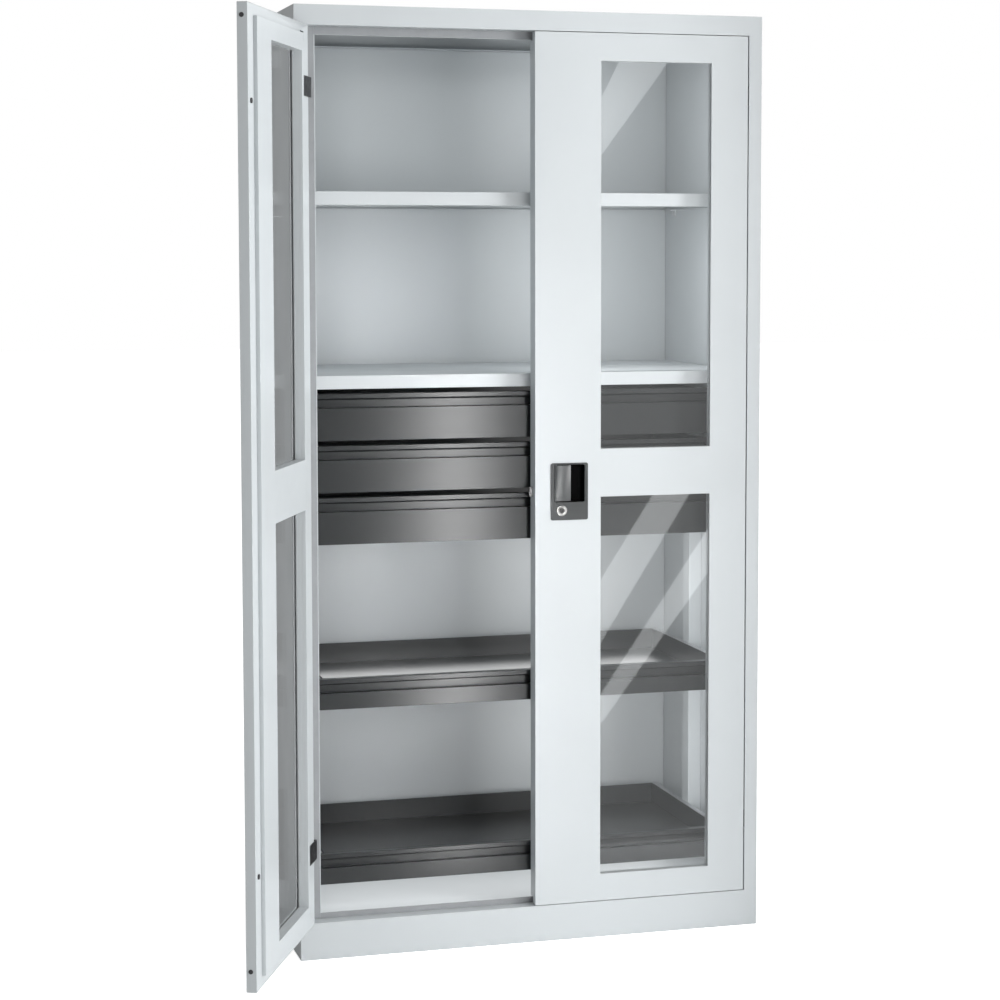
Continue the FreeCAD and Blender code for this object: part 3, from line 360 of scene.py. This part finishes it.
def rubber(name, colour):
    """Matt rubber."""
    material, tree, shader = new_material(name, colour)
    vary_colour(tree, shader, colour, size=0.03, amount=0.04)
    roughen(tree, shader, low=0.60, high=0.80, size=0.01)
    dimple(tree, shader, size=0.8 * MM, depth=0.1 * MM, strength=0.2)
    return material


def moulded(name, colour):
    """Fine matt moulded or cast surface."""
    material, tree, shader = new_material(name, colour)
    vary_colour(tree, shader, colour, size=0.02, amount=0.05)
    roughen(tree, shader, low=0.36, high=0.5, size=0.012)
    dimple(tree, shader, size=0.6 * MM, depth=0.08 * MM, strength=0.15)
    return material


def paint_depth_shade(tree, shader, colour, start, end):
    """Painted shade: lets a colour and its shine run out into black between two places along Y."""
    place = tree.nodes.new("ShaderNodeTexCoord")
    parts = tree.nodes.new("ShaderNodeSeparateXYZ")
    depth = tree.nodes.new("ShaderNodeMapRange")
    depth.inputs["From Min"].default_value = start
    depth.inputs["From Max"].default_value = end
    tree.links.new(place.outputs["Object"], parts.inputs["Vector"])
    tree.links.new(parts.outputs["Y"], depth.inputs["Value"])
    mix = tree.nodes.new("ShaderNodeMix")
    mix.data_type = "RGBA"
    mix.inputs["A"].default_value = (*colour, 1)
    mix.inputs["B"].default_value = (*CUP_PAINTED_SHADE, 1)
    tree.links.new(depth.outputs["Result"], mix.inputs["Factor"])
    tree.links.new(mix.outputs["Result"], shader.inputs["Base Color"])
    shine = tree.nodes.new("ShaderNodeMapRange")
    shine.inputs["To Min"].default_value = 0.5
    shine.inputs["To Max"].default_value = 0.02
    tree.links.new(depth.outputs["Result"], shine.inputs["Value"])
    tree.links.new(shine.outputs["Result"], shader.inputs["Specular IOR Level"])


def recessed(name, colour, node, start, end):
    """A moulded surface of a node with painted shade that turns it black from one depth behind its
    front to another.
    """
    material, tree, shader = new_material(name, colour)
    roughen(tree, shader, low=0.30, high=0.42, size=0.012)
    dimple(tree, shader, size=0.6 * MM, depth=0.08 * MM, strength=0.15)
    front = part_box(node)[0].y
    paint_depth_shade(tree, shader, colour, front + start, front + end)
    return material


def nickel(name, colour):
    """Softly polished metal."""
    material, tree, shader = new_material(name, colour)
    shader.inputs["Metallic"].default_value = 1.0
    roughen(tree, shader, low=0.28, high=0.40, size=0.004)
    return material


FINISHES = {}


def finish(key):
    """The finish under a key; each is made once."""
    paint = bpy.context.scene.cabinet_paint
    lock_grey = (0.034, 0.037, 0.038)
    paddle_grey = (0.065, 0.069, 0.071)
    makers = {
        "body": lambda: powder_coat("Light grey coat", paint.body, paint.gloss, paint.grain),
        "pull": lambda: powder_coat("Anthracite coat", paint.pull_outs, 0.30, paint.grain, False),
        "zinc": lambda: zinc("Zinc plate"),
        "glass": lambda: glass("Float glass"),
        "rubber": lambda: rubber("Buffer rubber", (0.035, 0.035, 0.037)),
        "seal": lambda: rubber("Glazing seal", (0.42, 0.44, 0.45)),
        "strip": lambda: rubber("Stop strip", (0.24, 0.25, 0.26)),
        # The lock plate and the paddle get painted shade deep in the lock cup
        "lock": lambda: recessed("Lock grey", lock_grey, "lock_plate", 2 * MM, 4 * MM),
        "paddle": lambda: recessed("Paddle grey", paddle_grey, "lock_paddle", 7 * MM, 10 * MM),
        "hinge": lambda: moulded("Hinge black", (0.012, 0.012, 0.013)),
        "nickel": lambda: nickel("Nickel", (0.26, 0.26, 0.255)),
        "plug": lambda: nickel("Plug steel", (0.10, 0.10, 0.10)),
    }
    if key not in FINISHES:
        FINISHES[key] = makers[key]()
    return FINISHES[key]


# Work on the frame's own pieces
def dress(node, key, rounding):
    """Gives a frame piece its finish and softens its sharp edges without touching its mesh."""
    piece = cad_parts[node]
    for slot in piece.material_slots:
        slot.material = finish(key)
    if rounding:
        weld = piece.modifiers.new("Joined faces", "WELD")
        weld.merge_threshold = 0.001 * MM
        flat = piece.modifiers.new("Plain faces", "DECIMATE")
        flat.decimate_type = "DISSOLVE"
        flat.angle_limit = math.radians(0.5)
        bevel = piece.modifiers.new("Soft edges", "BEVEL")
        bevel.width = rounding
        bevel.segments = 2
        bevel.limit_method = "ANGLE"
        bevel.angle_limit = SHARP_ANGLE
        bevel.harden_normals = True


def add_mesh(name, make, key, body):
    """A new piece from a bmesh function, on its body and with its finish."""
    mesh = bpy.data.meshes.new(name)
    work = bmesh.new()
    make(work)
    bmesh.ops.recalc_face_normals(work, faces=work.faces)
    work.to_mesh(mesh)
    work.free()
    piece = bpy.data.objects.new(name, mesh)
    bpy.context.collection.objects.link(piece)
    mesh.materials.append(finish(key))
    mesh.shade_smooth()
    mesh.set_sharp_from_angle(angle=SHARP_ANGLE)
    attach(piece, body)
    return piece


def turned(work, profile, matrix, steps):
    """A turned form round the Z of a matrix: profile holds (radius, height) pairs."""
    rings = []
    for radius, height in profile:
        ring = []
        for i in range(steps):
            angle = 2 * math.pi * i / steps
            point = Vector((radius * math.cos(angle), radius * math.sin(angle), height))
            ring.append(work.verts.new(matrix @ point))
        rings.append(ring)
    for low, high in zip(rings, rings[1:]):
        for i in range(steps):
            j = (i + 1) % steps
            work.faces.new([low[i], low[j], high[j], high[i]])


def slab(work, low, high):
    """A flat block between two corners, its edges eased."""
    sides = tuple(zip(low, high))
    points = [work.verts.new((x, y, z)) for x in sides[0] for y in sides[1] for z in sides[2]]
    faces = ((0, 1, 3, 2), (4, 6, 7, 5), (0, 4, 5, 1), (2, 3, 7, 6), (0, 2, 6, 4), (1, 5, 7, 3))
    for face in faces:
        work.faces.new([points[i] for i in face])
    edges = [edge for edge in work.edges if set(edge.verts) <= set(points)]
    bmesh.ops.bevel(work, geom=edges, offset=STRIP_EASING, segments=1, affect="EDGES")


def stop_strips(work):
    """Grey strips on the four stops that the doors close towards."""
    low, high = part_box("side_left")
    back = low.y + STOP_DEPTH
    front = back - STRIP_THICKNESS
    outer = STOP_WIDTH - high.x - STRIP_GAP
    inner = outer - SIDE_STRIP_WIDTH
    foot, head = low.z + STRIP_INSET, high.z - STRIP_INSET
    for x in (-outer, inner):
        slab(work, (x, front, foot), (x + SIDE_STRIP_WIDTH, back, head))
    reach = inner - STRIP_GAP
    top = (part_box("roof")[0].z + STRIP_INSET, high.z - STRIP_GAP)
    bottom = (low.z + STRIP_GAP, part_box("base_frame")[1].z - STRIP_INSET)
    for lower, upper in (top, bottom):
        slab(work, (-reach, front, lower), (reach, back, upper))


def cylinder_face(work):
    """The turned rim of the lock cylinder with its polished chamfers, and the stem behind it."""
    low, high = CYLINDER_BOX
    middle = (low + high) / 2
    deep = high.y - low.y
    place = Matrix.Translation((middle.x, low.y, middle.z))
    inwards = Matrix.Rotation(math.radians(-90), 4, "X")
    profile = [(CYLINDER_BORE, deep), *CYLINDER_FACE, (CYLINDER_STEM, deep), (CYLINDER_BORE, deep)]
    turned(work, profile, place @ inwards, CYLINDER_STEPS)


# Operators
class CABINET_OT_carcass(bpy.types.Operator):
    """Coats the carcass sheets and shelves."""

    bl_idname = "cabinet.carcass"
    bl_label = "Coat the carcass"

    def execute(self, context):
        edges = context.scene.cabinet_edges
        for node in BUTTED_SHEETS:
            dress(node, "body", edges.cut)
        for node in INNER_SHEETS:
            dress(node, "body", edges.fold)
        add_mesh("door_stop_strips", stop_strips, "strip", "carcass")
        return {"FINISHED"}


class CABINET_OT_doors(bpy.types.Operator):
    """Coats the doors and fits glass and rubber."""

    bl_idname = "cabinet.doors"
    bl_label = "Finish the doors"

    def execute(self, context):
        edges = context.scene.cabinet_edges
        for door in ("left_door", "right_door"):
            dress(door + "_shell", "body", edges.fold)
            dress(door + "_inner", "body", edges.cut)
            dress(door + "_panes", "glass", rounding=0)
            dress(door + "_seals", "seal", edges.cut)
        dress("left_door_stiffener", "body", edges.fold)
        dress("left_door_buffers", "rubber", edges.cut)
        dress("lock_channel", "body", edges.fold)
        return {"FINISHED"}


class CABINET_OT_pull_outs(bpy.types.Operator):
    """Coats the drawers and trays."""

    bl_idname = "cabinet.pull_outs"
    bl_label = "Coat the pull-outs"

    def execute(self, context):
        edges = context.scene.cabinet_edges
        for name in PULL_OUTS:
            dress(name + "_body", "pull", edges.cut)
            dress(name + "_front", "pull", edges.fold)
            dress(name + "_inner_rails", "zinc", edges.cut)
            dress(name + "_middle_rails", "zinc", edges.cut)
        dress("outer_rails", "zinc", edges.cut)
        return {"FINISHED"}


class CABINET_OT_lock(bpy.types.Operator):
    """Finishes the recessed lock and its rods."""

    bl_idname = "cabinet.lock"
    bl_label = "Finish the lock"

    def execute(self, context):
        edges = context.scene.cabinet_edges
        dress("lock_plate", "lock", edges.cut)
        dress("lock_paddle", "paddle", edges.cut)
        dress("lock_cylinder", "nickel", rounding=0)
        rim = add_mesh("cylinder_rim", cylinder_face, "nickel", "right_door")
        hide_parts("lock_cylinder")
        dress("key_plug", "plug", rounding=0)
        dress("latch_bolt", "plug", edges.cut)
        for node in ("lock_pinion", "upper_rod", "lower_rod"):
            dress(node, "zinc", edges.cut)
        return {"FINISHED"}


class CABINET_OT_hardware(bpy.types.Operator):
    """Finishes hinges, clips and levelling feet."""

    bl_idname = "cabinet.hardware"
    bl_label = "Finish the hardware"

    def execute(self, context):
        edges = context.scene.cabinet_edges
        dress("left_hinge_arms", "hinge", edges.cut)
        dress("right_hinge_arms", "hinge", edges.cut)
        dress("hinge_brackets", "hinge", edges.cut)
        dress("hinge_pins", "zinc", edges.cut)
        dress("shelf_clips", "zinc", edges.cut)
        for place in ("front_left", "front_right", "rear_left", "rear_right"):
            dress("foot_" + place, "zinc", edges.fold)
        return {"FINISHED"}


# Stage
def glowing(name, strength):
    """A black stage material that glows white."""
    material, _, shader = new_material(name, (0, 0, 0))
    shader.inputs["Roughness"].default_value = 0.9
    shader.inputs["Emission Color"].default_value = (1, 1, 1, 1)
    shader.inputs["Emission Strength"].default_value = strength
    return material


def floor_material(colour):
    """A pale floor that runs into the white background."""
    material, tree, shader = new_material("Stage floor", colour)
    shader.inputs["Roughness"].default_value = 0.9
    shader.inputs["Emission Color"].default_value = (1, 1, 1, 1)
    path = tree.nodes.new("ShaderNodeLightPath")
    glow = tree.nodes.new("ShaderNodeMath")
    glow.operation = "MULTIPLY"
    glow.inputs[1].default_value = FLOOR_GLOW
    tree.links.new(path.outputs["Is Camera Ray"], glow.inputs[0])
    tree.links.new(glow.outputs["Value"], shader.inputs["Emission Strength"])
    return material


def stage_mesh(name, corners, material):
    """A flat sheet of the stage."""
    mesh = bpy.data.meshes.new(name)
    mesh.from_pydata(corners, [], [tuple(range(len(corners)))])
    mesh.materials.append(material)
    sheet = bpy.data.objects.new(name, mesh)
    bpy.context.collection.objects.link(sheet)
    return sheet


def sky_light(tree, strength):
    """A sky that is plain white behind the object and dimmer on its left than on its right."""
    shown = tree.nodes["Background"]
    shown.inputs["Color"].default_value = (1, 1, 1, 1)
    shown.inputs["Strength"].default_value = 1.0
    lit = tree.nodes.new("ShaderNodeBackground")
    place = tree.nodes.new("ShaderNodeTexCoord")
    parts = tree.nodes.new("ShaderNodeSeparateXYZ")
    side = tree.nodes.new("ShaderNodeMapRange")
    side.inputs["From Min"].default_value = -1
    side.inputs["To Min"].default_value, side.inputs["To Max"].default_value = SKY_SIDES
    power = tree.nodes.new("ShaderNodeMath")
    power.operation = "MULTIPLY"
    power.inputs[1].default_value = strength
    path = tree.nodes.new("ShaderNodeLightPath")
    mix = tree.nodes.new("ShaderNodeMixShader")
    tree.links.new(place.outputs["Generated"], parts.inputs["Vector"])
    tree.links.new(parts.outputs["X"], side.inputs["Value"])
    tree.links.new(side.outputs["Result"], power.inputs[0])
    tree.links.new(power.outputs["Value"], lit.inputs["Strength"])
    tree.links.new(path.outputs["Is Camera Ray"], mix.inputs["Fac"])
    tree.links.new(lit.outputs["Background"], mix.inputs[1])
    tree.links.new(shown.outputs["Background"], mix.inputs[2])
    tree.links.new(mix.outputs["Shader"], tree.nodes["World Output"].inputs["Surface"])


def area_light(name, place, direction, size, power):
    """A soft rectangular light that looks in a direction, hidden from the camera."""
    lamp = bpy.data.lights.new(name, "AREA")
    lamp.shape = "RECTANGLE"
    lamp.size, lamp.size_y = size
    lamp.energy = power
    light = bpy.data.objects.new(name, lamp)
    bpy.context.collection.objects.link(light)
    light.location = place
    light.rotation_euler = direction.to_track_quat("-Z", "Y").to_euler()
    light.visible_camera = False


def glossy_card(name, corners, strength):
    """A card that only mirrors and glossy coats see."""
    card = stage_mesh(name, order_round(corners), glowing(name, strength))
    card.visible_camera = False
    card.visible_diffuse = False
    card.visible_shadow = False
    card.visible_transmission = False
    return card


def upright_card(name, bounds, strength):
    """A glossy card that stands across the view: bounds are x from and to, y, z from and to."""
    left, right, y, low, high = bounds
    places = ((left, low), (right, low), (right, high), (left, high))
    return glossy_card(name, [Vector((x, y, z)) for x, z in places], strength)


def split_glow(card, soft, sharp):
    """One brightness for the soft shine of paint, another for the clean mirror of a pane."""
    tree = card.active_material.node_tree
    path = tree.nodes.new("ShaderNodeLightPath")
    seen = tree.nodes.new("ShaderNodeMapRange")
    seen.inputs["To Min"].default_value = soft
    seen.inputs["To Max"].default_value = sharp
    tree.links.new(path.outputs["Is Singular Ray"], seen.inputs["Value"])
    tree.links.new(
        seen.outputs["Result"], tree.nodes["Principled BSDF"].inputs["Emission Strength"]
    )


def streak_card(name, corners, strength):
    """A glowing card that the panes mirror towards the camera as one slanted band."""
    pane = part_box("right_door_panes")[0].y
    mirrored_eye = Vector((CAMERA_PLACE.x, 2 * pane - CAMERA_PLACE.y, CAMERA_PLACE.z))
    reach = (STREAK_PLANE - mirrored_eye.y) / (pane - mirrored_eye.y)
    rays = [Vector((x, pane, z)) - mirrored_eye for x, z in corners]
    glossy_card(name, [mirrored_eye + ray * reach for ray in rays], strength)


def order_round(corners):
    """The corners in order round their middle, seen along Y."""
    middle = sum(corners, Vector()) / len(corners)
    return sorted(corners, key=lambda p: math.atan2(p.z - middle.z, p.x - middle.x))


def place_camera(scene):
    """The camera of the photograph, with a smaller shift so that other views stay framed."""
    eye = bpy.data.cameras.new("Camera")
    eye.sensor_width = SENSOR_WIDTH
    eye.lens = CAMERA_FOCUS * SENSOR_WIDTH / PICTURE_WIDTH
    eye.shift_x, eye.shift_y = CAMERA_SHIFT
    eye.clip_end = 200
    camera = bpy.data.objects.new("Camera", eye)
    scene.collection.objects.link(camera)
    camera.location = CAMERA_PLACE
    camera.rotation_euler = (math.radians(90 + CAMERA_PITCH), 0, -math.radians(CAMERA_YAW))
    scene.camera = camera


class CABINET_OT_stage(bpy.types.Operator):
    """Sets the floor, the sky, the lights and the camera."""

    bl_idname = "cabinet.stage"
    bl_label = "Set the stage"

    def execute(self, context):
        scene = context.scene
        look = scene.cabinet_stage
        level = CAD_BOX[0].z - FLOOR_GAP
        ways = ((-1, -1), (1, -1), (1, 1), (-1, 1))
        corners = [(x * FLOOR_HALF, y * FLOOR_HALF, level) for x, y in ways]
        stage_mesh("Floor", corners, floor_material(look.floor))
        scene.world = bpy.data.worlds.new("Sky")
        scene.world.use_nodes = True
        sky_light(scene.world.node_tree, look.sky)
        for name, place, target, size, share in MAIN_LIGHTS:
            area_light(name, place, Vector(target) - Vector(place), size, look.key * share)
        for i, (place, direction, size, share) in enumerate(BOUNCES):
            area_light("Bounce_%d" % (i + 1), place, direction, size, look.inside * share)
        strip = upright_card("Strip", STRIP_CARD, look.strip)
        split_glow(strip, soft=look.strip, sharp=0.0)
        for i, corners in enumerate(STREAKS):
            streak_card("Streak_%d" % (i + 1), corners, look.streak)
        flag = upright_card("Flag", FLAG_CARD, look.haze)
        split_glow(flag, soft=0.0, sharp=look.haze)
        shade = upright_card("Shade", SHADE_CARD, strength=0.0)
        shade.visible_glossy = False
        shade.visible_shadow = True
        scene.view_settings.view_transform = "Standard"
        place_camera(scene)
        return {"FINISHED"}


class CABINET_PT_panel(bpy.types.Panel):
    """Lists the cabinet's steps in the sidebar."""

    bl_label = "Storage cabinet"
    bl_space_type = "VIEW_3D"
    bl_region_type = "UI"
    bl_category = "Cabinet"

    def draw(self, context):
        for group in GROUPS:
            holder = getattr(context.scene, group)
            for name in holder.__annotations__:
                self.layout.prop(holder, name)
        for step in STEPS:
            self.layout.operator(step.bl_idname)


GROUPS = {
    "cabinet_paint": CabinetPaint,
    "cabinet_edges": CabinetEdges,
    "cabinet_stage": CabinetStage,
}
STEPS = (
    CABINET_OT_carcass,
    CABINET_OT_doors,
    CABINET_OT_pull_outs,
    CABINET_OT_lock,
    CABINET_OT_hardware,
    CABINET_OT_stage,
)


def register():
    for item in (*GROUPS.values(), *STEPS, CABINET_PT_panel):
        bpy.utils.register_class(item)
    for name, group in GROUPS.items():
        setattr(bpy.types.Scene, name, bpy.props.PointerProperty(type=group))


def unregister():
    for name in GROUPS:
        delattr(bpy.types.Scene, name)
    for item in reversed((*GROUPS.values(), *STEPS, CABINET_PT_panel)):
        bpy.utils.unregister_class(item)


def main():
    register()
    for step in STEPS:
        group, name = step.bl_idname.split(".")
        getattr(getattr(bpy.ops, group), name)()


if __name__ == "__main__":
    main()
